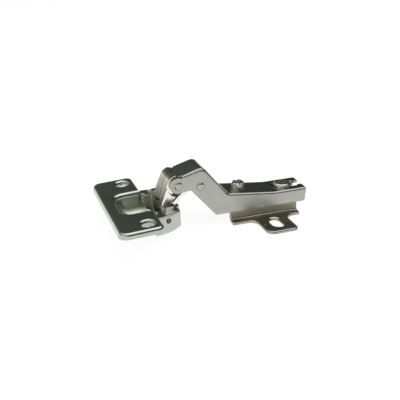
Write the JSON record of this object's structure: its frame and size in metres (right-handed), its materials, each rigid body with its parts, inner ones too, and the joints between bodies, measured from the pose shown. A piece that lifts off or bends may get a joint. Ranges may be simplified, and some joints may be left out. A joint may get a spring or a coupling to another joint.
{
  "type": "concealed cabinet hinge",
  "caption": "Concealed cabinet hinge: a flanged door cup, a folding linkage, a cranked channel arm and a winged mounting plate, to hang an inset or half-overlay door.",
  "frame": {"origin": "midway between the mounting plate's two screw slots, on the plane of its base", "axes": "+Z out of the cabinet wall that the plate is screwed to, +X along the arm towards the back of the cabinet, so the door cup lies towards -X; Y across the hinge"},
  "size_m": [0.0967, 0.0616, 0.0297],
  "materials": {
    "plated_sheet": "bright nickel plate on pressed steel sheet",
    "link_steel": "nickel plate with fine rolling lines",
    "pin_steel": "bright drawn steel",
    "spring_steel": "dark oiled spring wire",
    "screw_steel": "nickel plated"
  },
  "bodies": {
    "plate": {"mounting_plate": "plated_sheet"},
    "clamp_screw": {"fixing_screw": "screw_steel"},
    "arm": {"hinge_arm": "plated_sheet", "arm_front_pin": "pin_steel", "arm_rear_pin": "pin_steel"},
    "overlay_screw": {"adjusting_screw": "screw_steel"},
    "outer_link": {"outer_link": "link_steel"},
    "inner_link": {"inner_link": "link_steel"},
    "cup": {"hinge_cup": "plated_sheet", "cup_link_pin_left": "pin_steel", "cup_link_pin_right": "pin_steel", "cup_rear_pin": "pin_steel", "closing_spring_left": "spring_steel", "closing_spring_right": "spring_steel"}
  },
  "joints": [
    {"name": "arm_depth", "type": "slide", "parent": "plate", "child": "arm", "axis": [1, 0, 0], "range_m": [-0.0025, 0.0025]},
    {"name": "clamp_screw_turn", "type": "hinge", "parent": "plate", "child": "clamp_screw", "pos_m": [0.01, 0, 0.01], "axis": [0, 0, 1], "range_deg": [0, 720]},
    {"name": "overlay_screw_turn", "type": "hinge", "parent": "arm", "child": "overlay_screw", "pos_m": [-0.0131, 0, 0.015], "axis": [0, 0, 1], "range_deg": [-540, 540]},
    {"name": "outer_link_swing", "type": "hinge", "parent": "arm", "child": "outer_link", "pos_m": [-0.0448, 0, 0.023], "axis": [0, -1, 0], "range_deg": [0, 48.06]},
    {"name": "inner_link_swing", "type": "hinge", "parent": "arm", "child": "inner_link", "pos_m": [-0.03425, 0, 0.0212], "axis": [0, -1, 0], "range_deg": [0, 19.07]},
    {"name": "cup_swing", "type": "hinge", "parent": "outer_link", "child": "cup", "pos_m": [-0.05092, 0, 0.01359], "axis": [0, 1, 0], "range_deg": [0, 140.91]}
  ],
  "couplings": [
    {"joint": "cup_swing", "follows": "outer_link_swing", "ratio": 2.9308},
    {"joint": "inner_link_swing", "follows": "outer_link_swing", "ratio": 0.39649}
  ]
}
